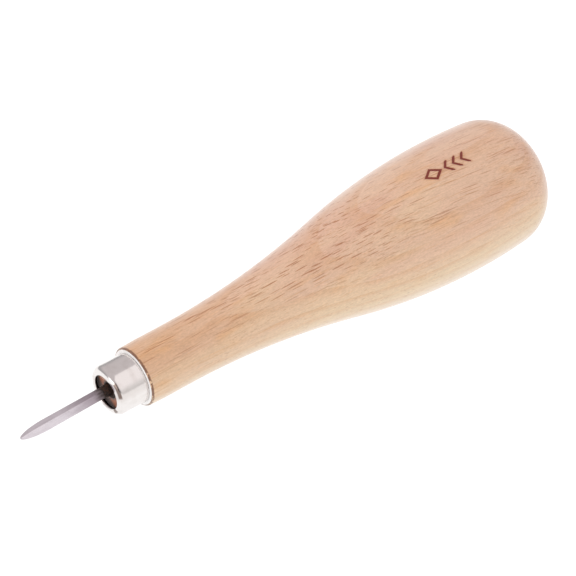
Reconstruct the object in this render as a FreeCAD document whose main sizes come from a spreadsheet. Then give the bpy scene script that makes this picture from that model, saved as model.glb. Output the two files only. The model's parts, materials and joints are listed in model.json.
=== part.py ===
import FreeCAD, Part
import math
import os

import Sketcher
from FreeCAD import Placement, Rotation, Vector

# A palm-handled lino cutter: a turned beech handle, a drawn steel ferrule on the
# handle's tenon, and a solid diamond-section blade whose tang is bedded in the
# handle with adhesive.
#
# Every piece is drawn about its own X axis. X = 0 is the plane of the ferrule's
# mouth, the blade points along -X and the palm end lies along +X. One placement
# then lays the whole tool on the surface Z = 0, touching it with its belly and
# with the edge of the wooden shoulder. Lengths are millimetres, angles degrees.

SIZES = {
    # Ferrule: a deep-drawn cap with its front rolled inwards.
    "ferrule_radius": 6.0,
    "ferrule_wall": 0.6,
    "ferrule_corner": 1.6,
    "ferrule_length": 7.6,
    # Handle: tenon, shoulder, neck and the tangent arcs of the palm grip.
    "tenon_front": 1.25,
    "tenon_chamfer": 0.5,
    "shoulder_station": 7.7,
    "shoulder_radius": 7.16,
    "shoulder_chamfer": 0.22,
    "neck_station": 11.5,
    "neck_radius": 7.29,
    "throat_arc": 214.0,
    "belly_station": 101.3,
    "belly_radius": 16.5,
    "belly_arc": 163.0,
    "heel_arc": 10.8,
    "dome_arc": 21.6,
    "palm_end": 125.4,
    # Hole bored into the tenon for the tang.
    "bore_radius": 2.0,
    "bore_depth": 38.0,
    "drill_angle": 118.0,
    # Blade: half sizes of the diamond section, and the width of its blunt edge.
    "blade_reach": 22.7,
    "nose_length": 7.0,
    "blade_half_width": 1.47,
    "blade_half_thickness": 0.88,
    "root_half_width": 1.38,
    "root_half_thickness": 0.9,
    "edge_land": 0.1,
    # Tang: forged nearly square and drawn down to a blunt end.
    "tang_start": 3.2,
    "tang_half_width": 1.3,
    "tang_half_thickness": 1.22,
    "tang_end": 36.0,
    "tang_end_half_width": 0.7,
    "tang_end_half_thickness": 0.66,
    # How the blade sits in the handle: turned about its length, and leaning a little.
    "blade_roll": 30.0,
    "blade_lean": 0.86,
    "lean_direction": 48.0,
    "lean_pivot": -20.0,
}

# The nose is half an ellipse seen from above: these are the angles, in degrees from
# its tip, where it has a section. The last section, at 90, is the full blade's.
NOSE_ANGLES = (9.0, 25.2, 41.4, 57.6, 73.8)

ORIGIN = (-1, 1)
H_AXIS = -1
V_AXIS = -2
START = 1
END = 2
CENTRE = 3

doc = FreeCAD.newDocument("lino_cutter")


def make_sheet(sizes):
    """Put every driving size in a spreadsheet cell and give the cell its name."""
    sheet = doc.addObject("Spreadsheet::Sheet", "Sizes")
    for row, (alias, value) in enumerate(sizes.items(), start=1):
        sheet.set(f"A{row}", alias)
        sheet.set(f"B{row}", str(value))
        sheet.setAlias(f"B{row}", alias)
    doc.recompute()
    return sheet


def size(alias):
    """Read one driving size back from the spreadsheet."""
    return float(getattr(sheet, alias))


def origin_plane(body, role):
    """Find one of a body's own origin planes or axes by its role."""
    return next(f for f in body.Origin.OriginFeatures if f.Role == role)


def new_body(name):
    """Start a sub-part that is named for the piece it makes."""
    body = doc.addObject("PartDesign::Body", name)
    body.Label = name
    return body


def new_sketch(body, name, role):
    """Start a sketch on one of the body's origin planes."""
    sketch = body.newObject("Sketcher::SketchObject", name)
    sketch.AttachmentSupport = [(origin_plane(body, role), "")]
    sketch.MapMode = "FlatFace"
    return sketch


def relate(sketch, kind, *refs):
    """Add a geometric constraint, such as a tangency."""
    sketch.addConstraint(Sketcher.Constraint(kind, *refs))


def dimension(sketch, kind, *refs, value, formula):
    """Add a driving dimension and bind it to a formula on the sheet's cells."""
    index = sketch.addConstraint(Sketcher.Constraint(kind, *refs, value))
    sketch.setExpression(f"Constraints[{index}]", formula)


def line(sketch, start, end):
    """Add a straight edge between two (x, y) points."""
    segment = Part.LineSegment(Vector(*start, 0), Vector(*end, 0))
    return sketch.addGeometry(segment, False)


def arc(sketch, centre, radius, first, last):
    """Add a counterclockwise arc between two angles in degrees."""
    circle = Part.Circle(Vector(*centre, 0), Vector(0, 0, 1), radius)
    curve = Part.ArcOfCircle(circle, math.radians(first), math.radians(last))
    return sketch.addGeometry(curve, False)


def join(sketch, *ends):
    """Make pairs of edge ends meet: (edge, end, edge, end), one after another."""
    for one, one_end, other, other_end in ends:
        relate(sketch, "Coincident", one, one_end, other, other_end)


def revolve(body, sketch, name):
    """Turn a half profile about the body's X axis."""
    solid = body.newObject("PartDesign::Revolution", name)
    solid.Profile = sketch
    solid.ReferenceAxis = (sketch, ["H_Axis"])
    solid.Angle = 360.0
    sketch.Visibility = False
    return solid


def make_ferrule():
    """The ferrule: one thin wall, rolled in at the front to a rounded lip."""
    outer = size("ferrule_radius")
    wall = size("ferrule_wall")
    corner = size("ferrule_corner")
    length = size("ferrule_length")
    inner = outer - wall
    rim = outer - corner
    body = new_body("ferrule")
    sketch = new_sketch(body, "wall_profile", "XY_Plane")
    outside = line(sketch, (length, outer), (corner, outer))
    outer_corner = arc(sketch, (corner, rim), corner, 90, 180)
    lip = arc(sketch, (wall / 2, rim), wall / 2, 180, 360)
    inner_corner = arc(sketch, (corner, rim), corner - wall, 90, 180)
    inside = line(sketch, (corner, inner), (length, inner))
    back = line(sketch, (length, inner), (length, outer))
    relate(sketch, "Tangent", outside, END, outer_corner, START)
    relate(sketch, "Tangent", outer_corner, END, lip, START)
    relate(sketch, "Tangent", lip, END, inner_corner, END)
    relate(sketch, "Tangent", inner_corner, START, inside, START)
    relate(sketch, "Coincident", outer_corner, CENTRE, inner_corner, CENTRE)
    join(sketch, (inside, END, back, START), (back, END, outside, START))
    relate(sketch, "Horizontal", outside)
    relate(sketch, "Horizontal", inside)
    relate(sketch, "Vertical", back)
    relate(sketch, "Horizontal", outer_corner, CENTRE, outer_corner, END)
    dimension(sketch, "Radius", outer_corner, value=corner, formula="Sizes.ferrule_corner")
    dimension(sketch, "Radius", lip, value=wall / 2, formula="Sizes.ferrule_wall / 2")
    dimension(sketch, "DistanceY", *ORIGIN, outside, START, value=outer,
              formula="Sizes.ferrule_radius")
    dimension(sketch, "DistanceX", *ORIGIN, outside, START, value=length,
              formula="Sizes.ferrule_length")
    dimension(sketch, "DistanceX", *ORIGIN, outer_corner, CENTRE, value=corner,
              formula="Sizes.ferrule_corner")
    revolve(body, sketch, "drawn_cap")
    return body


def grip_centres():
    """Centres of the grip's tangent arcs, from the neck to the palm end."""
    throat = size("throat_arc")
    belly = size("belly_arc")
    heel = size("heel_arc")
    dome = size("dome_arc")
    belly_centre = Vector(size("belly_station"), size("belly_radius") - belly, 0)
    rise = size("neck_radius") + throat - belly_centre.y
    run = math.sqrt((throat + belly) ** 2 - rise ** 2)
    throat_centre = Vector(belly_centre.x - run, size("neck_radius") + throat, 0)
    dome_centre = Vector(size("palm_end") - dome, 0, 0)
    between = dome_centre - belly_centre
    to_belly = belly - heel
    to_dome = dome - heel
    along = (to_belly ** 2 - to_dome ** 2 + between.Length ** 2) / (2 * between.Length)
    across = math.sqrt(to_belly ** 2 - along ** 2)
    unit = Vector(between).normalize()
    heel_centre = belly_centre + unit * along + Vector(unit.y, -unit.x, 0) * across
    return throat_centre, belly_centre, heel_centre, dome_centre


def bearing(start, end):
    """Angle in degrees of the direction from one point to another."""
    return math.degrees(math.atan2(end.y - start.y, end.x - start.x))


def make_handle():
    """The handle: tenon, shoulder, neck, flared throat, belly and domed palm end."""
    front = size("tenon_front")
    chamfer = size("tenon_chamfer")
    tenon = size("ferrule_radius") - size("ferrule_wall")
    step = size("shoulder_station")
    shoulder = size("shoulder_radius")
    edge = size("shoulder_chamfer")
    neck_start = size("neck_station")
    neck = size("neck_radius")
    throat, belly, heel, dome = grip_centres()
    to_belly = bearing(belly, throat)
    to_heel = bearing(belly, heel)
    to_dome = bearing(dome, heel)
    body = new_body("handle")
    sketch = new_sketch(body, "turned_profile", "XY_Plane")
    face = line(sketch, (front, 0), (front, tenon - chamfer))
    bevel = line(sketch, (front, tenon - chamfer), (front + chamfer, tenon))
    tenon_side = line(sketch, (front + chamfer, tenon), (step, tenon))
    step_face = line(sketch, (step, tenon), (step, shoulder - edge))
    step_edge = line(sketch, (step, shoulder - edge), (step + edge, shoulder))
    swell = line(sketch, (step + edge, shoulder), (neck_start, neck))
    neck_side = line(sketch, (neck_start, neck), (throat.x, neck))
    throat_arc = arc(sketch, (throat.x, throat.y), size("throat_arc"), 270, 180 + to_belly)
    belly_arc = arc(sketch, (belly.x, belly.y), size("belly_arc"), to_heel, to_belly)
    heel_arc = arc(sketch, (heel.x, heel.y), size("heel_arc"), to_dome, to_heel)
    dome_arc = arc(sketch, (dome.x, dome.y), size("dome_arc"), 0, to_dome)
    axis = line(sketch, (size("palm_end"), 0), (front, 0))
    join(
        sketch,
        (face, END, bevel, START),
        (bevel, END, tenon_side, START),
        (tenon_side, END, step_face, START),
        (step_face, END, step_edge, START),
        (step_edge, END, swell, START),
        (swell, END, neck_side, START),
        (dome_arc, START, axis, START),
        (axis, END, face, START),
    )
    relate(sketch, "Tangent", neck_side, END, throat_arc, START)
    relate(sketch, "Tangent", throat_arc, END, belly_arc, END)
    relate(sketch, "Tangent", belly_arc, START, heel_arc, END)
    relate(sketch, "Tangent", heel_arc, START, dome_arc, END)
    relate(sketch, "Vertical", face)
    relate(sketch, "Vertical", step_face)
    relate(sketch, "Horizontal", tenon_side)
    relate(sketch, "Horizontal", neck_side)
    relate(sketch, "PointOnObject", face, START, H_AXIS)
    relate(sketch, "PointOnObject", axis, START, H_AXIS)
    relate(sketch, "PointOnObject", dome_arc, CENTRE, H_AXIS)
    heights = (
        (bevel, START, tenon - chamfer,
         "Sizes.ferrule_radius - Sizes.ferrule_wall - Sizes.tenon_chamfer"),
        (tenon_side, START, tenon, "Sizes.ferrule_radius - Sizes.ferrule_wall"),
        (step_edge, START, shoulder - edge, "Sizes.shoulder_radius - Sizes.shoulder_chamfer"),
        (swell, START, shoulder, "Sizes.shoulder_radius"),
        (neck_side, START, neck, "Sizes.neck_radius"),
    )
    for edge_id, end, value, formula in heights:
        dimension(sketch, "DistanceY", *ORIGIN, edge_id, end, value=value, formula=formula)
    stations = (
        (face, START, front, "Sizes.tenon_front"),
        (tenon_side, START, front + chamfer, "Sizes.tenon_front + Sizes.tenon_chamfer"),
        (step_face, START, step, "Sizes.shoulder_station"),
        (swell, START, step + edge, "Sizes.shoulder_station + Sizes.shoulder_chamfer"),
        (neck_side, START, neck_start, "Sizes.neck_station"),
        (belly_arc, CENTRE, belly.x, "Sizes.belly_station"),
        (axis, START, size("palm_end"), "Sizes.palm_end"),
    )
    for edge_id, end, value, formula in stations:
        dimension(sketch, "DistanceX", *ORIGIN, edge_id, end, value=value, formula=formula)
    dimension(sketch, "DistanceY", belly_arc, CENTRE, *ORIGIN, value=-belly.y,
              formula="Sizes.belly_arc - Sizes.belly_radius")
    for arc_id, alias in (
        (throat_arc, "throat_arc"),
        (belly_arc, "belly_arc"),
        (heel_arc, "heel_arc"),
        (dome_arc, "dome_arc"),
    ):
        dimension(sketch, "Radius", arc_id, value=size(alias), formula=f"Sizes.{alias}")
    revolve(body, sketch, "turning")
    doc.recompute()
    bore_tang_hole(body)
    return body


def bore_tang_hole(body):
    """Drill the tenon's face for the tang, with a drill's conical bottom."""
    sketch = new_sketch(body, "hole_centre", "YZ_Plane")
    sketch.setExpression("AttachmentOffset.Base.z", "Sizes.tenon_front")
    circle = Part.Circle(Vector(0, 0, 0), Vector(0, 0, 1), size("bore_radius"))
    ring = sketch.addGeometry(circle, False)
    relate(sketch, "Coincident", ring, CENTRE, *ORIGIN)
    dimension(sketch, "Radius", ring, value=size("bore_radius"), formula="Sizes.bore_radius")
    doc.recompute()
    hole = body.newObject("PartDesign::Hole", "tang_hole")
    hole.Profile = sketch
    hole.Reversed = True
    hole.Threaded = False
    hole.DepthType = "Dimension"
    hole.DrillPoint = "Angled"
    hole.setExpression("Diameter", "Sizes.bore_radius * 2")
    hole.setExpression("Depth", "Sizes.bore_depth")
    hole.setExpression("DrillPointAngle", "Sizes.drill_angle")
    body.Tip = hole
    return hole


def diamond_section(body, name, station, half_width, half_thickness, land="Sizes.edge_land"):
    """A diamond across the X axis with blunt side edges; every size is a formula."""
    sketch = new_sketch(body, name, "YZ_Plane")
    sketch.setExpression("AttachmentOffset.Base.z", station)
    wide = 1.0
    tall = 0.6
    blunt = 0.1
    corners = (
        (wide, -blunt),
        (wide, blunt),
        (0, tall),
        (-wide, blunt),
        (-wide, -blunt),
        (0, -tall),
    )
    sides = [line(sketch, a, b) for a, b in zip(corners, corners[1:] + corners[:1])]
    for side, following in zip(sides, sides[1:] + sides[:1]):
        relate(sketch, "Coincident", side, END, following, START)
    right, upper_right, upper_left, left, lower_left, lower_right = sides
    relate(sketch, "PointOnObject", upper_left, START, V_AXIS)
    relate(sketch, "Symmetric", right, START, right, END, H_AXIS)
    relate(sketch, "Symmetric", left, START, left, END, H_AXIS)
    relate(sketch, "Symmetric", right, END, left, START, V_AXIS)
    relate(sketch, "Symmetric", upper_left, START, lower_right, START, *ORIGIN)
    dimension(sketch, "DistanceX", *ORIGIN, right, END, value=wide, formula=half_width)
    dimension(sketch, "DistanceY", *ORIGIN, upper_left, START, value=tall,
              formula=half_thickness)
    dimension(sketch, "DistanceY", right, START, right, END, value=2 * blunt,
              formula=f"2 * ({land})")
    sketch.Visibility = False
    return sketch


def loft(body, name, sections, ruled):
    """Add the solid that runs through a row of sections."""
    solid = body.newObject("PartDesign::AdditiveLoft", name)
    solid.Profile = sections[0]
    solid.Sections = sections[1:]
    solid.Ruled = ruled
    return solid


def make_blade():
    """The blade and its tang, one piece of steel on its own straight centre line."""
    body = new_body("blade")
    nose = []
    for number, angle in enumerate(NOSE_ANGLES, start=1):
        nose.append(diamond_section(
            body,
            f"nose_section_{number}",
            f"-Sizes.blade_reach + (1 - cos({angle} deg)) * Sizes.nose_length",
            f"Sizes.blade_half_width * sin({angle} deg)",
            f"Sizes.blade_half_thickness * sin({angle} deg)",
            f"Sizes.edge_land * sin({angle} deg)",
        ))
    heel = diamond_section(
        body,
        "nose_end_section",
        "-Sizes.blade_reach + Sizes.nose_length",
        "Sizes.blade_half_width",
        "Sizes.blade_half_thickness",
    )
    root = diamond_section(
        body, "root_section", "Sizes.tenon_front",
        "Sizes.root_half_width", "Sizes.root_half_thickness",
    )
    tang_start = diamond_section(
        body, "tang_start_section", "Sizes.tang_start",
        "Sizes.tang_half_width", "Sizes.tang_half_thickness",
    )
    tang_end = diamond_section(
        body, "tang_end_section", "Sizes.tang_end",
        "Sizes.tang_end_half_width", "Sizes.tang_end_half_thickness",
    )
    doc.recompute()
    loft(body, "nose", nose + [heel], ruled=False)
    loft(body, "shank", [heel, root], ruled=True)
    loft(body, "tang_shoulder", [root, tang_start], ruled=True)
    loft(body, "tang", [tang_start, tang_end], ruled=True)
    return body


def make_bore_fill():
    """The space in the bored hole, up to the tenon's face, that adhesive fills."""
    radius = size("bore_radius")
    front = size("tenon_front")
    depth = size("bore_depth")
    half_point = size("drill_angle") / 2
    bottom = front + depth
    tip = bottom + radius / math.tan(math.radians(half_point))
    body = new_body("bore_fill")
    sketch = new_sketch(body, "bore_profile", "XY_Plane")
    mouth = line(sketch, (front, 0), (front, radius))
    side = line(sketch, (front, radius), (bottom, radius))
    cone = line(sketch, (bottom, radius), (tip, 0))
    axis = line(sketch, (tip, 0), (front, 0))
    join(
        sketch,
        (mouth, END, side, START),
        (side, END, cone, START),
        (cone, END, axis, START),
        (axis, END, mouth, START),
    )
    relate(sketch, "Vertical", mouth)
    relate(sketch, "Horizontal", side)
    relate(sketch, "PointOnObject", mouth, START, H_AXIS)
    relate(sketch, "PointOnObject", axis, START, H_AXIS)
    dimension(sketch, "DistanceX", *ORIGIN, mouth, START, value=front,
              formula="Sizes.tenon_front")
    dimension(sketch, "DistanceX", side, START, side, END, value=depth,
              formula="Sizes.bore_depth")
    dimension(sketch, "DistanceY", *ORIGIN, side, START, value=radius,
              formula="Sizes.bore_radius")
    dimension(sketch, "DistanceX", cone, START, cone, END, value=tip - bottom,
              formula="Sizes.bore_radius / tan(Sizes.drill_angle / 2 * 1 deg)")
    revolve(body, sketch, "bore_solid")
    return body


def make_adhesive(bore_fill, blade):
    """The cured adhesive round the tang: the bored hole's space less the steel."""
    bed = doc.addObject("Part::Cut", "tang_adhesive")
    bed.Label = "tang_adhesive"
    bed.Base = bore_fill
    bed.Tool = blade
    return bed


def lying_placement():
    """Lay the tool down on Z = 0, resting on its belly and its shoulder's edge.

    The floor touches the belly's arc and the shoulder's corner, so its slope to the
    tool's axis follows from the belly arc's centre and that corner. The tool is then
    moved along the floor until the middle of its length is at X = 0.
    """
    belly_centre = grip_centres()[1]
    corner_x = size("shoulder_station") + size("shoulder_chamfer")
    corner_r = size("shoulder_radius")
    run = belly_centre.x - corner_x
    drop = corner_r - belly_centre.y
    slope = math.asin(size("belly_arc") / math.hypot(run, drop)) - math.atan2(drop, run)
    height = corner_r * math.cos(slope) - corner_x * math.sin(slope)
    dome = size("dome_arc")
    palm = (size("palm_end") - dome) * math.cos(slope) + dome
    tip = -size("blade_reach") * math.cos(slope)
    turn = Rotation(Vector(0, 1, 0), -math.degrees(slope))
    return Placement(Vector(-(palm + tip) / 2, 0, height), turn)


def seat_placement():
    """Turn the blade about its length and lean it about a point near its nose."""
    heading = math.radians(size("lean_direction"))
    pivot = Vector(size("lean_pivot"), 0, 0)
    hinge = Vector(0, -math.sin(heading), math.cos(heading))
    roll = Placement(Vector(), Rotation(Vector(1, 0, 0), size("blade_roll")))
    lean = Placement(Vector(), Rotation(hinge, size("blade_lean")), pivot)
    return lean * roll


def problems(items, pieces):
    """List every failed object, and every piece whose shape is empty or broken."""
    found = []
    for item in items:
        if {"Invalid", "Error"} & set(item.State):
            found.append(f"{item.Name} failed to recompute: {item.State}")
    for piece in pieces:
        if piece.Shape.isNull() or not piece.Shape.isValid():
            found.append(f"{piece.Label} has no valid shape")
        elif len(piece.Shape.Solids) != 1:
            found.append(f"{piece.Label} has {len(piece.Shape.Solids)} solids")
    return found


sheet = make_sheet(SIZES)
ferrule = make_ferrule()
handle = make_handle()
blade = make_blade()
bore_fill = make_bore_fill()
lying = lying_placement()
for body in (ferrule, handle, bore_fill):
    body.Placement = lying
blade.Placement = lying * seat_placement()
adhesive = make_adhesive(bore_fill, blade)
doc.recompute()

PIECES = (handle, ferrule, blade, adhesive)
faults = problems(doc.Objects, PIECES)
if faults:
    raise RuntimeError("; ".join(faults))

os.makedirs("parts", exist_ok=True)
for piece in PIECES:
    piece.Shape.exportStep(os.path.join("parts", f"{piece.Label}.step"))
    box = piece.Shape.BoundBox
    print(
        f"{piece.Label}: {piece.Shape.Volume:.1f} mm3, "
        f"{box.XLength:.2f} x {box.YLength:.2f} x {box.ZLength:.2f} mm"
    )
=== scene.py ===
"""A palm-handled lino cutter: a beech grip, a nickel-plated ferrule and a ground steel blade.

Sizes are millimetres in the tool's own frame, where X runs along the tool from its
blade to its palm end and X = 0 is the plane of the ferrule's mouth. ToolFrame lays a
finished mesh, and every finish's pattern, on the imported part, which is in metres.
"""
import json
import logging
import math
from dataclasses import dataclass, field
from enum import Enum
from typing import Any, Sequence, Union

import bmesh
import bpy
from mathutils import Euler, Matrix, Vector, noise


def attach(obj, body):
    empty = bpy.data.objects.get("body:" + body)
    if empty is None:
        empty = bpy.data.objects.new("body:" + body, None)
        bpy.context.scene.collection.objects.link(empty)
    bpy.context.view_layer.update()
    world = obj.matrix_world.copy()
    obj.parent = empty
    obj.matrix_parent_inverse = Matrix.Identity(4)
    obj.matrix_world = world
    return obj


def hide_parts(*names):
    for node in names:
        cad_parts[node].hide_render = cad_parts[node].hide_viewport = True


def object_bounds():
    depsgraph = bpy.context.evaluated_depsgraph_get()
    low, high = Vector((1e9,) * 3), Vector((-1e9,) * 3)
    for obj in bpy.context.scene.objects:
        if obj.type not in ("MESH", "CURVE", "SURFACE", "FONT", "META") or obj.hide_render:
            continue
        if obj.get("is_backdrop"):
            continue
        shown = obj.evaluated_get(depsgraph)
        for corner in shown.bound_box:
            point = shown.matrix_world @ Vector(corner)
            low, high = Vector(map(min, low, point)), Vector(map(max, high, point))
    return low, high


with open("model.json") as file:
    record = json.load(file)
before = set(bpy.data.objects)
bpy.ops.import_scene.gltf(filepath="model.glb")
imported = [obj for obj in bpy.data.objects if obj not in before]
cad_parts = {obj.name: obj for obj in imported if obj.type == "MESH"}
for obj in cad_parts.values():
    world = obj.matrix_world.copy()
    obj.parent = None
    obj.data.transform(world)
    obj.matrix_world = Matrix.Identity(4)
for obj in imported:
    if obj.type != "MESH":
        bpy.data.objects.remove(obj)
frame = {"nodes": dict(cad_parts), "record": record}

log = logging.getLogger("lino_cutter")

METRES_PER_MM = 0.001
MERGE_MM = 1e-4
MIX_FACTOR = 0
MIX_COLOUR_A = 6
MIX_COLOUR_B = 7
MIX_COLOUR_OUT = 2
Number = Union[float, "Level"]
Colour = tuple[float, float, float]
Sizes = tuple[float, float, float]
Place = tuple[float, float, float]
Pair = tuple[float, float]
Paint = Union[Colour, "Triple"]
Edges = list[bmesh.types.BMEdge]


class Slot(Enum):
    """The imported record's material slots."""

    BEECH = "beech"
    NICKEL = "plated_steel"
    STEEL = "blade_steel"
    ADHESIVE = "adhesive"


# ---------------- places


@dataclass(frozen=True)
class ToolFrame:
    """A right-handed frame in millimetres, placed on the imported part."""

    matrix: Matrix

    @classmethod
    def on_ferrule(cls, mounts: list[dict[str, Any]], station: float) -> "ToolFrame":
        """Find the tool's frame from the mount on the ferrule's outside.

        Args:
            mounts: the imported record's mounts.
            station: where the mount's point lies along the tool, in millimetres.

        Returns:
            The frame whose X runs towards the palm end, with Y level.
        """
        mount = next(m for m in mounts if m["name"] == "ferrule_outside")
        along = -Vector(mount["axis"]).normalized()
        across = Vector((0.0, 1.0, 0.0))
        turn = Matrix((along, across, along.cross(across))).transposed().to_4x4()
        origin = Vector(mount["pos_m"]) - along * station * METRES_PER_MM
        scale = Matrix.Scale(METRES_PER_MM, 4)
        return cls(Matrix.Translation(origin) @ turn @ scale)

    def turned(self, local: Matrix) -> "ToolFrame":
        """The frame after a rigid move given in this frame's own millimetres."""
        return ToolFrame(self.matrix @ local)

    def point(self, station: float) -> Vector:
        """The place in metres of a station on the tool's axis."""
        return self.matrix @ Vector((station, 0.0, 0.0))


# ---------------- shader maths


@dataclass(frozen=True)
class Level:
    """A number that varies over a surface, with a number's own arithmetic."""

    graph: "Graph"
    socket: bpy.types.NodeSocket

    def __add__(self, other: Number) -> "Level":
        """Sum."""
        return self.graph.math("ADD", self, other)

    def __sub__(self, other: Number) -> "Level":
        """Difference."""
        return self.graph.math("SUBTRACT", self, other)

    def __rsub__(self, other: Number) -> "Level":
        """Reflected difference, as in 1 - mask."""
        return self.graph.math("SUBTRACT", other, self)

    def __mul__(self, other: Number) -> "Level":
        """Product."""
        return self.graph.math("MULTIPLY", self, other)

    def __truediv__(self, other: Number) -> "Level":
        """Quotient."""
        return self.graph.math("DIVIDE", self, other)

    def __pow__(self, power: float) -> "Level":
        """Power."""
        return self.graph.math("POWER", self, power)

    def __abs__(self) -> "Level":
        """Size without its sign."""
        return self.graph.math("ABSOLUTE", self)

    def lowest(self, other: Number) -> "Level":
        """The smaller of two levels."""
        return self.graph.math("MINIMUM", self, other)

    def highest(self, other: Number) -> "Level":
        """The larger of two levels."""
        return self.graph.math("MAXIMUM", self, other)

    def fraction(self) -> "Level":
        """What is left over a whole number."""
        return self.graph.math("FRACT", self)

    def lifted(self, least: float) -> "Level":
        """A level from 0 to 1, squeezed to run from least to 1."""
        return self * (1.0 - least) + least

    def fade(self, start: float, end: float) -> "Level":
        """A smooth step from 0 at start to 1 at end, whichever is the larger.

        Args:
            start: the value that gives 0.
            end: the value that gives 1.

        Returns:
            The step.
        """
        node = self.graph.add(
            "ShaderNodeMapRange",
            {"interpolation_type": "SMOOTHSTEP"},
            {"Value": self, "From Min": start, "From Max": end},
        )
        return Level(self.graph, node.outputs["Result"])


@dataclass(frozen=True)
class Triple:
    """A place or a colour that varies over a surface."""

    graph: "Graph"
    socket: bpy.types.NodeSocket

    def __add__(self, other: Union["Triple", Place]) -> "Triple":
        """Sum, part by part."""
        return self.graph.vector_math("ADD", self, other)

    def __mul__(self, other: Union["Triple", Sizes]) -> "Triple":
        """Product, part by part."""
        return self.graph.vector_math("MULTIPLY", self, other)

    def parts(self) -> tuple[Level, Level, Level]:
        """Its three numbers.

        Returns:
            The first, the second and the third.
        """
        node = self.graph.add("ShaderNodeSeparateXYZ", {}, {"Vector": self})
        x, y, z = (Level(self.graph, node.outputs[axis]) for axis in "XYZ")
        return x, y, z

    def bearing(self) -> Level:
        """Its bearing about X in radians, from Y towards Z."""
        _, y, z = self.parts()
        return self.graph.math("ARCTAN2", z, y)

    def rolled(self, degrees: float) -> "Triple":
        """The same place read in a frame rolled about X.

        Args:
            degrees: how far the frame is rolled.

        Returns:
            The place in that frame.
        """
        node = self.graph.add(
            "ShaderNodeMapping",
            {"vector_type": "TEXTURE"},
            {"Vector": self, "Rotation": (math.radians(degrees), 0.0, 0.0)},
        )
        return Triple(self.graph, node.outputs["Vector"])


@dataclass(frozen=True)
class Feature:
    """Something fine on a surface: its height in millimetres, and how much rougher it is."""

    level: Level
    height: float = 0.0
    roughness: float = 0.0


class Graph:
    """The nodes of one material or world, and the methods that add to them."""

    def __init__(self, owner: Union[bpy.types.Material, bpy.types.World]) -> None:
        """Start with no nodes.

        Args:
            owner: the material or the world.
        """
        owner.use_nodes = True
        self.owner = owner
        self.tree = owner.node_tree
        self.tree.nodes.clear()

    def add(
        self, kind: str, settings: dict[str, Any], inputs: dict[Union[str, int], Any]
    ) -> bpy.types.Node:
        """Add any node.

        Args:
            kind: the node's type.
            settings: its own settings, set before its sockets.
            inputs: values or links, by socket name or number.

        Returns:
            The node.
        """
        node = self.tree.nodes.new(kind)
        for name, value in settings.items():
            setattr(node, name, value)
        for key, value in inputs.items():
            socket = node.inputs[key]
            if isinstance(value, (Level, Triple)):
                self.tree.links.new(value.socket, socket)
            elif isinstance(value, bpy.types.NodeSocket):
                self.tree.links.new(value, socket)
            elif socket.type == "RGBA":
                socket.default_value = (*value, 1.0)
            else:
                socket.default_value = value
        return node

    def math(self, operation: str, *values: Number) -> Level:
        """Add a Math node on one to three values."""
        node = self.add("ShaderNodeMath", {"operation": operation}, dict(enumerate(values)))
        return Level(self, node.outputs[0])

    def vector_math(self, operation: str, *values: Union[Triple, Sizes]) -> Triple:
        """Add a Vector Math node on two places or colours.

        Args:
            operation: what the node works out.
            *values: the places or colours it works on.

        Returns:
            The result.
        """
        settings = {"operation": operation}
        node = self.add("ShaderNodeVectorMath", settings, dict(enumerate(values)))
        return Triple(self, node.outputs[0])

    def place(self, tool: ToolFrame) -> Triple:
        """The surface's place in a tool frame, in millimetres.

        Args:
            tool: the tool's frame.

        Returns:
            The place.
        """
        objects = self.add("ShaderNodeTexCoord", {}, {})
        node = self.add(
            "ShaderNodeMapping",
            {"vector_type": "TEXTURE"},
            {
                "Vector": objects.outputs["Object"],
                "Location": tool.matrix.translation,
                "Rotation": tool.matrix.to_3x3().normalized().to_euler(),
                "Scale": (METRES_PER_MM,) * 3,
            },
        )
        return Triple(self, node.outputs["Vector"])

    def stack(self, x: Number, y: Number, z: Number) -> Triple:
        """Three numbers as one place."""
        node = self.add("ShaderNodeCombineXYZ", {}, {"X": x, "Y": y, "Z": z})
        return Triple(self, node.outputs["Vector"])

    def surface(
        self, features: Sequence[Feature], roughness: float, **inputs: Any
    ) -> bpy.types.Material:
        """Finish the material with one shader.

        Args:
            features: what shapes the surface finely.
            roughness: how rough it is without them.
            **inputs: the shader's other sockets, with _ for a space in their names.

        Returns:
            The material.
        """
        sockets = {name.replace("_", " "): value for name, value in inputs.items()}
        for feature in features:
            if feature.roughness:
                roughness = feature.level * feature.roughness + roughness
        sockets["Roughness"] = roughness
        heights = [feature.level * feature.height for feature in features if feature.height]
        if heights:
            relief = sum(heights[1:], heights[0])
            relief_inputs = {"Strength": 1.0, "Distance": METRES_PER_MM, "Height": relief}
            bump = self.add("ShaderNodeBump", {}, relief_inputs)
            sockets["Normal"] = bump.outputs["Normal"]
        shader = self.add("ShaderNodeBsdfPrincipled", {}, sockets)
        self.add("ShaderNodeOutputMaterial", {}, {"Surface": shader.outputs["BSDF"]})
        return self.owner


def blend(factor: Level, base: Paint, other: Paint) -> Triple:
    """Mix two colours, from base where factor is 0 to other where it is 1.

    Args:
        factor: 0 for base, 1 for other.
        base: the first colour.
        other: the second colour.

    Returns:
        The mix.
    """
    node = factor.graph.add(
        "ShaderNodeMix",
        {"data_type": "RGBA", "blend_type": "MIX"},
        {MIX_FACTOR: factor, MIX_COLOUR_A: base, MIX_COLOUR_B: other},
    )
    return Triple(factor.graph, node.outputs[MIX_COLOUR_OUT])


# ---------------- finishes


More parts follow.
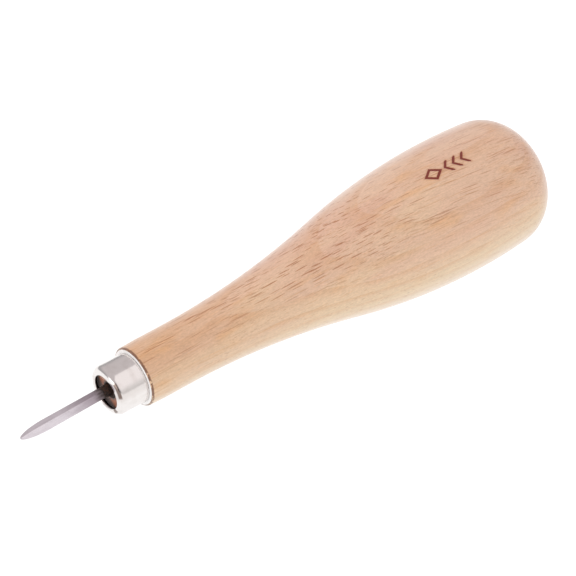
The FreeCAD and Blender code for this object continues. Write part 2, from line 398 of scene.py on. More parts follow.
@dataclass(frozen=True)
class Noise:
    """One kind of smooth noise: how it is stretched, per millimetre, and its finer layers."""

    stretch: Sizes
    detail: float = 2.0
    roughness: float = 0.5
    shift: Place = (0.0, 0.0, 0.0)

    def level(self, place: Triple) -> Level:
        """The noise from 0 to 1.

        Args:
            place: where it is read.

        Returns:
            The noise.
        """
        node = place.graph.add(
            "ShaderNodeTexNoise",
            {"noise_dimensions": "3D"},
            {
                "Vector": place * self.stretch + self.shift,
                "Scale": 1.0,
                "Detail": self.detail,
                "Roughness": self.roughness,
            },
        )
        return Level(place.graph, node.outputs["Fac"])

    def swing(self, place: Triple) -> Level:
        """The noise about 0, to either side by 0.5 at most."""
        return self.level(place) - 0.5


@dataclass(frozen=True)
class Fade:
    """A smooth step: where it starts, where it is full, and how much it then counts."""

    start: float
    full: float
    share: float = 1.0

    def of(self, level: Level) -> Level:
        """The step, taken on a level."""
        return level.fade(self.start, self.full) * self.share


@dataclass(frozen=True)
class SizeMark:
    """A small burned mark on the grip: a lozenge and three chevrons that point to the blade."""

    station: float = 96.9
    bearing: float = 108.3
    radius: float = 16.44
    half_height: float = 1.85
    stroke: float = 0.63
    lozenge_centre: float = -4.3
    lozenge_half_length: float = 2.15
    chevron_tips: tuple[float, ...] = (-0.7, 1.8, 4.3)
    chevron_slope: float = 0.85
    edge: float = 0.09
    wear: Noise = Noise((0.8, 3.0, 3.0))
    raggedness: float = 0.16
    scorch: float = 0.55
    char: Colour = (0.170, 0.010, 0.001)
    char_share: float = 0.97
    singe: Colour = (0.50, 0.21, 0.10)
    singe_share: float = 0.42
    depth: float = 0.06

    def distance(self, place: Triple) -> Level:
        """How far a point on the grip lies from the middle of the nearest stroke.

        Args:
            place: the place in the tool's frame.

        Returns:
            The distance in millimetres.
        """
        along = place.parts()[0] - self.station
        around = place.bearing() - math.radians(self.bearing)
        height = abs(around * self.radius)
        a, b = self.lozenge_half_length, self.half_height - self.stroke / 2
        rim = abs(abs(along - self.lozenge_centre) / a + height / b - 1.0)
        nearest = rim / math.hypot(1 / a, 1 / b)
        steep = math.hypot(1.0, self.chevron_slope)
        beyond = (height - b).highest(0.0)
        for tip in self.chevron_tips:
            arm = abs(along - tip - height * self.chevron_slope) / steep
            nearest = nearest.lowest(arm + beyond)
        return nearest

    def burn(self, place: Triple, grain: Triple, colour: Triple) -> tuple[Triple, Level]:
        """Burn the mark into a colour.

        Args:
            place: the place in the tool's frame.
            grain: the place in the grain's frame.
            colour: the wood's colour.

        Returns:
            The new colour, and how far each place is charred.
        """
        half = self.stroke / 2
        nearest = self.distance(place)
        ragged = self.wear.swing(grain) * self.raggedness
        charred = (nearest + ragged).fade(half + self.edge, half - self.edge)
        singed = nearest.fade(half + self.scorch, half)
        colour = blend(singed * self.singe_share, colour, self.singe)
        return blend(charred * self.char_share, colour, self.char), charred


@dataclass(frozen=True)
class CutFront:
    """The handle's cut front: the sanded shoulder face under a painted highlight, its ragged rim,
    and the tenon's end.

    A reach is a fade in millimetres past the shoulder.
    """

    rim: Colour = (0.170, 0.075, 0.040)
    # painted highlight: the shoulder face is painted near-white, far paler than the wood's own
    # colour
    face: Colour = (1.0, 0.99, 0.98)
    tenon: Colour = (0.360, 0.092, 0.016)
    # painted highlight: the top of the tenon's end painted pale, as if catching light
    tenon_top_highlight: Colour = (0.920, 0.740, 0.620)
    # dark brown for the adhesive smear round the root and for the painted shadow in the ferrule's
    # mouth
    smear_and_shade: Colour = (0.022, 0.010, 0.007)
    rim_wear: Noise = Noise((0.0, 1.3, 1.3))
    rim_wander: float = 0.6
    rim_reach: Fade = Fade(0.88, 0.62, 0.92)
    rim_gaps: Fade = Fade(0.34, 0.46)
    face_highlight_reach: Fade = Fade(0.016, 0.004)
    tenon_reach: Fade = Fade(-0.01, -0.2)
    tenon_highlight_height: Fade = Fade(1.4, 3.2)
    shadow_across: float = 0.75
    shadow_up: float = -0.66
    shadow: Fade = Fade(0.9, 2.6, 0.92)
    smear_square: Fade = Fade(7.5, 3.6)

    def cover(self, place: Triple, colour: Triple, shoulder: float) -> Triple:
        """Lay the cut front's colours, painted highlights and painted shadow over the wood's.

        Args:
            place: the place in the tool's frame.
            colour: the colour beneath.
            shoulder: the shoulder face's station.

        Returns:
            The new colour.
        """
        x, y, z = place.parts()
        past = x - shoulder
        wear = self.rim_wear.level(place)
        rim = self.rim_reach.of(past + wear * self.rim_wander) * self.rim_gaps.of(wear)
        colour = blend(rim, colour, self.rim)
        # painted highlight: the shoulder face painted near-white
        colour = blend(self.face_highlight_reach.of(past), colour, self.face)
        # painted highlight along the top of the tenon's end
        tenon = blend(self.tenon_highlight_height.of(z), self.tenon, self.tenon_top_highlight)
        # painted shadow: the tenon's end darkened towards one side inside the ferrule's mouth;
        # round the root the same dark is an adhesive smear
        shadow = self.shadow.of(y * self.shadow_across + z * self.shadow_up)
        dark = shadow.highest(self.smear_square.of(y * y + z * z))
        tenon = blend(dark, tenon, self.smear_and_shade)
        return blend(self.tenon_reach.of(past), colour, tenon)


@dataclass(frozen=True)
class Flecks:
    """One kind of ray fleck: spindles that lie along the grain, one to each cell.

    cell is the room that a spindle has along, across and out, in millimetres. reach is how
    far it fills that room, from 0 to 0.5, and least is its strength where it is weakest.
    """

    cell: Sizes
    reach: float
    least: float
    share: float = 1.0
    shift: Place = (0.0, 0.0, 0.0)
    stagger: float = 0.37
    rarity: Fade = Fade(0.38, 0.92)
    softness: float = 0.30
    palest: float = 0.4

    def cover(self, grain: Triple, strength: Level) -> Level:
        """How much of a fleck's colour shows.

        Args:
            grain: the place in the grain's frame.
            strength: how strongly these flecks show at each place.

        Returns:
            The cover, from 0 to the flecks' share.
        """
        graph = grain.graph
        along, across, out = (grain + self.shift).parts()
        shifted = along + across * (self.stagger * self.cell[0] / self.cell[1])
        spread = graph.stack(shifted, across, out) * tuple(1 / side for side in self.cell)
        node = graph.add(
            "ShaderNodeTexVoronoi",
            {"voronoi_dimensions": "3D", "feature": "F1"},
            {"Vector": spread, "Scale": 1.0},
        )
        distance = Level(graph, node.outputs["Distance"])
        chance = Triple(graph, node.outputs["Color"]).parts()[0]
        limit = self.rarity.of(chance) * self.reach
        body = ((limit - distance) / (self.reach * self.softness)).fade(0.0, 1.0)
        return body * chance.lifted(self.palest) * strength.lifted(self.least) * self.share


@dataclass(frozen=True)
class BeechFinish:
    """Turned and sanded beech, left undyed: ray flecks, faint rings and golden patches, with
    painted light on its underside.
    """

    base: Colour = (0.690, 0.465, 0.323)
    warm: Colour = (0.712, 0.504, 0.334)
    rosy: Colour = (0.662, 0.422, 0.298)
    # painted light: a paler cream for the underside, as if lit from the floor below
    painted_underside_light: Colour = (0.690, 0.535, 0.335)
    fleck: Colour = (0.340, 0.105, 0.020)
    latewood: Colour = (0.580, 0.300, 0.135)
    gold: Colour = (0.700, 0.360, 0.125)
    knot: Colour = (0.022, 0.010, 0.007)

    grain_roll: float = 12.0
    ray_roll: float = 47.0
    bend_start: float = 55.0
    bend: float = 0.00085
    stir: Noise = Noise((0.045, 0.12, 0.12), detail=1.0)
    stir_across: float = 1.6
    stir_out: float = 1.2

    tone: Noise = Noise((0.022, 0.11, 0.11))
    warmth: Fade = Fade(0.3, 0.7)
    plainness: Fade = Fade(0.16, 0.0)
    painted_underside_height: Fade = Fade(3.5, -5.5, 0.8)
    patches: Noise = Noise((0.075, 0.30, 0.22), shift=(7.3, 0.0, 0.0))
    patch_level: Fade = Fade(0.55, 0.80, 0.40)
    neck_station: Fade = Fade(50.0, 9.0)
    neck_height: Fade = Fade(-1.0, 6.0)
    neck_gold: float = 0.24
    neck_shade: float = 0.05

    pith_depth: float = 52.0
    ring_width: float = 3.1
    ring_drift: Noise = Noise((0.02, 0.07, 0.07), detail=1.0)
    ring_wander: float = 5.0
    ring_rise: Fade = Fade(0.45, 0.94)
    ring_fall: Fade = Fade(1.0, 0.95)
    ring_gaps: Noise = Noise((0.10, 0.5, 0.5))
    ring_whole: Fade = Fade(0.35, 0.65, 0.22)
    ring_least: float = 0.12

    crowds: Noise = Noise((0.03, 0.12, 0.12), detail=1.0, shift=(0.0, 3.1, 0.0))
    crowded: Fade = Fade(0.36, 0.60)
    bold_height: Fade = Fade(1.0, 9.5)
    bold_station: Fade = Fade(95.0, 50.0)
    bold_least: float = 0.55
    dark: Flecks = Flecks((8.0, 0.29, 0.90), 0.48, least=0.05)
    fine: Flecks = Flecks((4.4, 0.24, 0.75), 0.48, least=0.15, share=0.7, shift=(3.7, 0.4, 5.0))
    streaks: Flecks = Flecks((13.0, 0.40, 1.3), 0.46, least=0.6, share=0.36, shift=(1.3, 0.2, 2.0))
    pores: Flecks = Flecks((1.3, 0.24, 0.8), 0.40, least=0.3, share=0.30, shift=(1.3, 0.2, 0.0))
    fleck_share: float = 0.82

    fibre: Noise = Noise((0.30, 3.4, 3.4), 3.0, 0.65)
    fibre_shade: float = 0.38
    mottle: Noise = Noise((1.6, 3.2, 3.2), 2.0, 0.6)
    mottle_shade: float = 0.36
    knot_place: Place = (65.2, -6.6, 7.5)
    knot_reach: Fade = Fade(0.42, 0.15)
    roughness: float = 0.46
    fuzz: float = 1.0
    fuzz_roughness: float = 0.40
    front: CutFront = CutFront()

    def grain(self, place: Triple, roll: float) -> Triple:
        """The place in a frame that follows the grain: along, across and out.

        Args:
            place: the place in the tool's frame.
            roll: how far the frame is rolled about the tool, in degrees.

        Returns:
            The place, in millimetres.
        """
        along, across, out = place.rolled(roll).parts()
        past = (along - self.bend_start).highest(0.0)
        stir = self.stir.swing(place)
        across = across + past * past * self.bend + stir * self.stir_across
        return place.graph.stack(along, across, out + stir * self.stir_out)

    def rings(self, grain: Triple) -> Level:
        """How much of each growth ring's late wood shows.

        Args:
            grain: the place in the grain's frame.

        Returns:
            The cover, from 0 to 1.
        """
        _, across, out = grain.parts()
        depth = out + self.pith_depth
        radius = (across * across + depth * depth) ** 0.5
        drift = self.ring_drift.level(grain) * self.ring_wander
        ring = ((radius + drift) / self.ring_width).fraction()
        late = self.ring_rise.of(ring) * self.ring_fall.of(ring)
        return late * (self.ring_whole.of(self.ring_gaps.level(grain)) + self.ring_least)

    def plain_wood(self, grain: Triple, height: Level, neck: Level) -> Triple:
        """The wood's colour before its flecks, paler on its underside as painted light from below.

        Args:
            grain: the place in the grain's frame.
            height: the height over the tool's axis.
            neck: how far a place counts as the top of the neck.

        Returns:
            The colour.
        """
        tone = self.tone.level(grain)
        patches = self.patches.level(grain)
        colour = blend(self.warmth.of(tone), self.rosy, self.warm)
        colour = blend(self.plainness.of(abs(tone - 0.5)), colour, self.base)
        # painted light from below: the underside blended towards a paler cream by height
        colour = blend(self.painted_underside_height.of(height), colour, self.painted_underside_light)
        colour = blend(self.rings(grain), colour, self.latewood)
        colour = blend(self.patch_level.of(patches), colour, self.gold)
        return blend(neck * self.neck_gold, colour, self.gold)

    def pin_knot(self, place: Triple) -> Level:
        """A pin knot's dark dot on the throat."""
        x, y, z = (place + tuple(-side for side in self.knot_place)).parts()
        return self.knot_reach.of((x * x + y * y + z * z) ** 0.5)

    def material(self, tool: ToolFrame, mark: SizeMark, shoulder: float) -> bpy.types.Material:
        """Build the wood.

        Args:
            tool: the tool's frame.
            mark: the burned mark on the grip.
            shoulder: the shoulder face's station.

        Returns:
            The material.
        """
        graph = Graph(bpy.data.materials.new("turned_beech"))
        place = graph.place(tool)
        grain = self.grain(place, self.grain_roll)
        rays = self.grain(place, self.ray_roll)
        x, _, z = place.parts()
        neck = self.neck_station.of(x) * self.neck_height.of(z)
        colour = self.plain_wood(grain, z, neck)

        crowd = self.crowded.of(self.crowds.level(grain))
        bold = self.bold_height.of(z) * self.bold_station.of(x).lifted(self.bold_least)
        pores = self.pores.cover(rays, crowd)
        fine = self.fine.cover(rays, bold) * crowd
        marks = self.dark.cover(rays, bold).highest(fine)
        streaks = self.streaks.cover(rays, 1.0 - crowd)
        colour = blend(streaks, colour, self.latewood)
        colour = blend(pores, colour, self.fleck)
        colour = blend(marks * self.fleck_share, colour, self.fleck)

        fibre = self.fibre.swing(grain)
        mottle = self.mottle.swing(grain)
        shade = fibre * self.fibre_shade + mottle * self.mottle_shade + 1.0
        shade = shade - neck * self.neck_shade
        colour = colour * graph.stack(shade, shade, shade)
        colour = blend(self.pin_knot(place), colour, self.knot)
        # the cut front, with its painted highlights and painted shadow
        colour = self.front.cover(place, colour, shoulder)
        colour, charred = mark.burn(place, grain, colour)
        features = (
            Feature(fibre, height=0.010, roughness=0.12),
            Feature(marks, height=-0.016, roughness=0.10),
            Feature(pores, height=-0.020),
            Feature(charred, height=-mark.depth, roughness=0.25),
        )
        return graph.surface(
            features,
            self.roughness,
            Base_Color=colour,
            IOR=1.45,
            Specular_IOR_Level=0.42,
            Sheen_Weight=self.fuzz,
            Sheen_Roughness=self.fuzz_roughness,
        )


@dataclass(frozen=True)
class Patch:
    """A patch on the ferrule: its bearing in degrees, and its fade to each side in radians."""

    bearing: float
    spread: Fade

    def cover(self, bearing: Level) -> Level:
        """How much of the patch shows at a bearing in radians."""
        return self.spread.of(abs(bearing - math.radians(self.bearing)))


@dataclass(frozen=True)
class NickelFinish:
    """Bright nickel plate on a drawn cap: drawing rings, hairlines, handling marks, a dark joint
    and a nick, with painted reflections on the lip and painted shade on the inside wall.
    """

    base: Colour = (0.785, 0.755, 0.740)
    # grey for handling wear and for the painted reflection band
    dull_and_reflection_grey: Colour = (0.640, 0.590, 0.565)
    # dark brown-grey for the joint's grime and the nick, for the painted dark reflection and for
    # the painted shade inside
    stain_shade_and_reflection: Colour = (0.17, 0.12, 0.10)
    roughness: float = 0.13
    drawing: Noise = Noise((7.0, 0.25, 0.25), 3.0, 0.6)
    hairlines: Noise = Noise((0.7, 6.0, 6.0), 2.0, 0.6)
    hairline: Fade = Fade(0.62, 0.72)
    handling: Noise = Noise((0.35, 0.35, 0.35), 3.0)
    handled: Fade = Fade(0.45, 0.75, 0.5)
    joint_station: Fade = Fade(7.4, 7.62)
    joint_wear: Noise = Noise((1.2, 1.2, 1.2))
    joint_worn: Fade = Fade(0.35, 0.7)
    joint_share: float = 0.55
    # painted reflection: a grey band along the plating where it would mirror the dark horizon
    horizon_reflection_band: Patch = Patch(164.0, Fade(0.36, 0.05, 0.55))
    # painted reflection: a dark streak on the rolled lip beside the mouth, standing in for
    # something dark mirrored there
    dark_reflection: Patch = Patch(151.0, Fade(0.40, 0.28, 0.92))
    dark_reflection_station: float = 0.48
    dark_reflection_reach: Fade = Fade(0.38, 0.20)
    dark_reflection_wear: Fade = Fade(0.30, 0.50)
    dark_reflection_least: float = 0.6
    nick: Patch = Patch(-131.0, Fade(0.18, 0.12, 0.90))
    nick_square: Fade = Fade(28.0, 25.0)
    nick_station: Fade = Fade(0.30, 0.20)
    # painted shade: the inner wall inside the mouth darkened
    inside_station: Fade = Fade(0.40, 0.60, 0.85)
    inside_radius: Fade = Fade(5.58, 5.45)

    def stains_shade_and_reflections(self, place: Triple, handling: Level, colour: Triple) -> Triple:
        """Lay the nick, the painted reflections and the painted shade inside the mouth over the
        plating's colour.

        Args:
            place: the place in the tool's frame.
            handling: the noise of handling.
            colour: the colour beneath.

        Returns:
            The new colour.
        """
        x, y, z = place.parts()
        bearing = place.bearing()
        square = y * y + z * z
        # painted reflection band of the dark horizon
        colour = blend(self.horizon_reflection_band.cover(bearing), colour, self.dull_and_reflection_grey)
        # painted dark reflection on the rolled lip
        dark_reflection = self.dark_reflection.cover(bearing) * self.dark_reflection_reach.of(abs(x - self.dark_reflection_station))
        dark_reflection = dark_reflection * self.dark_reflection_wear.of(handling).lifted(self.dark_reflection_least)
        colour = blend(dark_reflection, colour, self.stain_shade_and_reflection)
        nick = self.nick.cover(bearing) * self.nick_square.of(square) * self.nick_station.of(x)
        colour = blend(nick, colour, self.stain_shade_and_reflection)
        # painted shade on the inner wall inside the mouth
        inside = self.inside_station.of(x) * self.inside_radius.of(square ** 0.5)
        return blend(inside, colour, self.stain_shade_and_reflection)

    def material(self, tool: ToolFrame) -> bpy.types.Material:
        """Build the plating in the tool's frame.

        Args:
            tool: the tool's frame.

        Returns:
            The material.
        """
        graph = Graph(bpy.data.materials.new("nickel_plate"))
        place = graph.place(tool)
        drawn = self.drawing.swing(place)
        hairline = self.hairline.of(self.hairlines.level(place))
        handling = self.handling.level(place)
        worn = self.joint_worn.of(self.joint_wear.level(place))
        joint = self.joint_station.of(place.parts()[0]) * worn
        colour = blend(self.handled.of(handling), self.base, self.dull_and_reflection_grey)
        colour = blend(joint * self.joint_share, colour, self.stain_shade_and_reflection)
        # the nick, the painted reflections and the painted shade inside
        colour = self.stains_shade_and_reflections(place, handling, colour)
        features = (
            Feature(drawn, height=0.0022, roughness=0.08),
            Feature(hairline, height=-0.0012, roughness=0.08),
            Feature(handling, height=0.012, roughness=0.07),
            Feature(joint, roughness=0.3),
        )
        return graph.surface(features, self.roughness, Base_Color=colour, Metallic=1.0)


@dataclass(frozen=True)
class GroundSteelFinish:
    """Ground tool steel: lengthwise grinding marks, and forge scale towards the root."""

    bright: Colour = (0.765, 0.725, 0.77)
    worn: Colour = (0.64, 0.605, 0.645)
    scale: Colour = (0.040, 0.026, 0.021)
    bluing: Colour = (0.36, 0.30, 0.34)
    roughness: float = 0.33
    grinding: Noise = Noise((0.22, 8.0, 8.0), 4.0, 0.65)
    wear: Noise = Noise((0.5, 1.6, 1.6), 3.0)
    wear_level: Fade = Fade(0.35, 0.75, 0.6)
    raggedness: float = 2.4
    blued_station: Fade = Fade(-13.0, -2.5, 0.85)
    scaled_station: Fade = Fade(-3.6, -0.4)
    scale_dullness: float = 0.8

    def material(self, seat: ToolFrame) -> bpy.types.Material:
        """Build the steel in the blade's own frame.

        Args:
            seat: the blade's own frame.

        Returns:
            The material.
        """
        graph = Graph(bpy.data.materials.new("ground_steel"))
        place = graph.place(seat)
        wear = self.wear.level(place)
        uneven = wear - 0.5
        station = place.parts()[0] + uneven * self.raggedness
        scaled = self.scaled_station.of(station)
        colour = blend(self.wear_level.of(wear), self.bright, self.worn)
        colour = blend(self.blued_station.of(station), colour, self.bluing)
        colour = blend(scaled, colour, self.scale)
        features = (
            Feature(self.grinding.swing(place), height=0.012, roughness=0.22),
            Feature(wear, height=0.008, roughness=0.08),
            Feature(uneven * scaled, height=0.040),
            Feature(scaled, roughness=0.35),
        )
        metal = 1.0 - scaled * self.scale_dullness
        return graph.surface(features, self.roughness, Base_Color=colour, Metallic=metal)


@dataclass(frozen=True)
class AdhesiveFinish:
    """Cured dark adhesive with a soft, lumpy skin."""

    base: Colour = (0.011, 0.007, 0.006)
    thin: Colour = (0.050, 0.022, 0.013)
    roughness: float = 0.60
    lumps: Noise = Noise((1.6, 1.6, 1.6), 3.0)
    thinness: Fade = Fade(0.35, 0.7)

    def material(self, tool: ToolFrame) -> bpy.types.Material:
        """Build the adhesive in the tool's frame.

        Args:
            tool: the tool's frame.

        Returns:
            The material.
        """
        graph = Graph(bpy.data.materials.new("dark_adhesive"))
        lumps = self.lumps.level(graph.place(tool))
        return graph.surface(
            (Feature(lumps, height=0.12, roughness=0.2),),
            self.roughness,
            Base_Color=blend(self.thinness.of(lumps), self.base, self.thin),
            IOR=1.5,
            Specular_IOR_Level=0.25,
        )


@dataclass(frozen=True)
class FloorFinish:
    """A pale sweep that stays almost white under the tool."""

    albedo: float = 0.15
    roughness: float = 0.9
    glow: float = 1.02

    def material(self) -> bpy.types.Material:
        """Build the floor's material.

        Returns:
            The material.
        """
        return Graph(bpy.data.materials.new("pale_sweep")).surface(
            (),
            self.roughness,
            Base_Color=(self.albedo,) * 3,
            Specular_IOR_Level=0.0,
            Emission_Color=(1.0, 1.0, 1.0),
            Emission_Strength=self.glow,
        )


# ---------------- modelling


class Outline:
    """A half profile, drawn edge by edge in X (along) and Y (radius), then turned."""

    def __init__(self, station: float, radius: float) -> None:
        """Start the profile at one point."""
        self.mesh = bmesh.new()
        self.end = self.mesh.verts.new((station, radius, 0.0))

    def line(self, station: float, radius: float, steps: int = 1) -> None:
        """Draw straight on to a point, in one or more edges.

        Args:
            station: the place along the tool's axis.
            radius: the distance from the axis.
            steps: how many edges it takes.
        """
        start = self.end.co.copy()
        goal = Vector((station, radius, 0.0))
        for step in range(1, steps + 1):
            out = bmesh.ops.extrude_vert_indiv(self.mesh, verts=[self.end])
            self.end = out["verts"][0]
            self.end.co = start.lerp(goal, step / steps)

    def arc(self, centre: tuple[float, float], degrees: float, steps: int) -> None:
        """Draw on round a centre, counterclockwise where the angle is positive.

        Args:
            centre: the arc's centre.
            degrees: how far it goes round.
            steps: how many edges it takes.
        """
        out = bmesh.ops.spin(
            self.mesh,
            geom=[self.end],
            cent=(*centre, 0.0),
            axis=(0.0, 0.0, 1.0),
            angle=math.radians(degrees),
            steps=steps,
            use_merge=False,
        )
        self.end = next(g for g in out["geom_last"] if isinstance(g, bmesh.types.BMVert))

    def turned(self, steps: int) -> bmesh.types.BMesh:
        """Spin the profile a full turn about X, closing its seam and its poles.

        Args:
            steps: how many faces go round.

        Returns:
            The closed mesh.
        """
        bmesh.ops.spin(
            self.mesh,
            geom=self.mesh.verts[:] + self.mesh.edges[:],
            cent=(0.0, 0.0, 0.0),
            axis=(1.0, 0.0, 0.0),
            angle=math.tau,
            steps=steps,
            use_merge=True,
        )
        bmesh.ops.remove_doubles(self.mesh, verts=self.mesh.verts[:], dist=MERGE_MM)
        bmesh.ops.dissolve_degenerate(self.mesh, dist=MERGE_MM, edges=self.mesh.edges[:])
        bmesh.ops.recalc_face_normals(self.mesh, faces=self.mesh.faces[:])
        return self.mesh


def finished(
    mesh: bmesh.types.BMesh,
    name: str,
    tool: ToolFrame,
    material: bpy.types.Material,
    sharp_degrees: float = 32.0,
) -> bpy.types.Object:
    """Lay a finished mesh on the part, and dress it.

    Args:
        mesh: the mesh in the tool's millimetres; it is freed.
        name: the piece's name.
        tool: the frame that the mesh is drawn in.
        material: its material.
        sharp_degrees: edges sharper than this stay crisp.

    Returns:
        The object, at the origin, with its place in its mesh.
    """
    bmesh.ops.transform(mesh, matrix=tool.matrix, verts=mesh.verts[:])
    data = bpy.data.meshes.new(name)
    mesh.to_mesh(data)
    mesh.free()
    data.polygons.foreach_set("use_smooth", [True] * len(data.polygons))
    data.set_sharp_from_angle(angle=math.radians(sharp_degrees))
    data.materials.append(material)
    piece = bpy.data.objects.new(name, data)
    bpy.context.scene.collection.objects.link(piece)
    log.info("%s: %d faces", name, len(data.polygons))
    return piece


# ---------------- sub-assemblies


@dataclass
class Ferrule:
    """The drawn cap: one thin wall, rolled in at the front to a rounded lip."""

    radius: float = 6.0
    wall: float = 0.6
    corner: float = 1.6
    length: float = 7.6
    burr: float = 0.12
    steps: int = 160
    finish: NickelFinish = field(default_factory=NickelFinish)

    @property
    def mount_station(self) -> float:
        """The middle of the straight part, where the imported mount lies."""
        return (self.corner + self.length) / 2

    def mesh(self) -> bmesh.types.BMesh:
        """Turn the wall's profile.

        Returns:
            The mesh.
        """
        inner = self.radius - self.wall
        rim = self.radius - self.corner
        outline = Outline(self.length, self.radius - self.burr)
        outline.arc((self.length - self.burr, self.radius - self.burr), 90.0, steps=4)
        outline.line(self.corner, self.radius, steps=6)
        outline.arc((self.corner, rim), 90.0, steps=14)
        outline.arc((self.wall / 2, rim), 180.0, steps=12)
        outline.arc((self.corner, rim), -90.0, steps=8)
        outline.line(self.length, inner, steps=2)
        outline.line(self.length, self.radius - self.burr)
        return outline.turned(self.steps)

    def build(self, tool: ToolFrame) -> bpy.types.Object:
        """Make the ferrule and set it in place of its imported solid.

        Args:
            tool: the tool's frame.

        Returns:
            The piece.
        """
        material = self.finish.material(tool)
        piece = finished(self.mesh(), "nickel_ferrule", tool, material)
        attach(piece, "root")
        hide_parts("ferrule")
        return piece


@dataclass
class Handle:
    """The turned grip: tenon, shoulder, neck, flared throat, belly and domed palm end."""

    tenon_front: float = 1.25
    tenon_radius: float = 5.4
    tenon_chamfer: float = 0.5
    shoulder_station: float = 7.7
    shoulder_radius: float = 7.16
    shoulder_round: float = 0.48
    neck_station: float = 11.5
    neck_radius: float = 7.29
    throat_arc: float = 214.0
    belly_station: float = 101.3
    belly_radius: float = 16.5
    belly_arc: float = 163.0
    heel_arc: float = 10.8
    dome_arc: float = 21.6
    palm_end: float = 125.4
    bore_radius: float = 2.0
    bore_depth: float = 38.0
    drill_angle: float = 118.0
    steps: int = 192
    finish: BeechFinish = field(default_factory=BeechFinish)
    mark: SizeMark = field(default_factory=SizeMark)

    def centres(self) -> tuple[Vector, Vector, Vector, Vector]:
        """The centres of the throat, belly, heel and dome arcs, each tangent to the next.

        Returns:
            The four centres, in that order.
        """
        belly = Vector((self.belly_station, self.belly_radius - self.belly_arc))
        rise = self.neck_radius + self.throat_arc - belly.y
        run = math.sqrt((self.throat_arc + self.belly_arc) ** 2 - rise**2)
        throat = Vector((belly.x - run, self.neck_radius + self.throat_arc))
        dome = Vector((self.palm_end - self.dome_arc, 0.0))
        between = dome - belly
        to_belly = self.belly_arc - self.heel_arc
        to_dome = self.dome_arc - self.heel_arc
        gap = between.length
        along = (to_belly**2 - to_dome**2 + gap**2) / (2 * gap)
        aside = math.sqrt(to_belly**2 - along**2)
        unit = between.normalized()
        heel = belly + unit * along + Vector((unit.y, -unit.x)) * aside
        return throat, belly, heel, dome

    def mesh(self) -> bmesh.types.BMesh:
        """Turn the grip's profile, from the bottom of its hole to its palm end.

        Returns:
            The mesh.
        """
        throat, belly, heel, dome = self.centres()
        to_throat = self.bearing(belly, throat)
        to_heel = self.bearing(belly, heel)
        to_dome = self.bearing(dome, heel)
        face_radius = self.shoulder_radius - self.shoulder_round
        bottom = self.tenon_front + self.bore_depth
        point = self.bore_radius / math.tan(math.radians(self.drill_angle / 2))
        outline = Outline(bottom + point, 0.0)
        outline.line(bottom, self.bore_radius)
        outline.line(self.tenon_front, self.bore_radius, steps=8)
        outline.line(self.tenon_front, self.tenon_radius - self.tenon_chamfer, steps=3)
        outline.line(self.tenon_front + self.tenon_chamfer, self.tenon_radius)
        outline.line(self.shoulder_station, self.tenon_radius, steps=4)
        outline.line(self.shoulder_station, face_radius, steps=2)
        outline.arc((self.shoulder_station + self.shoulder_round, face_radius), -90.0, steps=5)
        outline.line(self.neck_station, self.neck_radius, steps=4)
        outline.line(throat.x, self.neck_radius, steps=7)
        outline.arc(throat, to_throat - 90.0, steps=48)
        outline.arc(belly, to_heel - to_throat, steps=48)
        outline.arc(heel, to_dome - to_heel, steps=14)
        outline.arc(dome, -to_dome, steps=14)
        return outline.turned(self.steps)

    @staticmethod
    def bearing(start: Vector, goal: Vector) -> float:
        """The direction in degrees from one point to another."""
        return math.degrees(math.atan2(goal.y - start.y, goal.x - start.x))

    def build(self, tool: ToolFrame) -> bpy.types.Object:
        """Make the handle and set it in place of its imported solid.

        Args:
            tool: the tool's frame.

        Returns:
            The piece.
        """
        material = self.finish.material(tool, self.mark, self.shoulder_station)
        piece = finished(self.mesh(), "beech_handle", tool, material)
        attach(piece, "root")
        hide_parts("handle")
        return piece


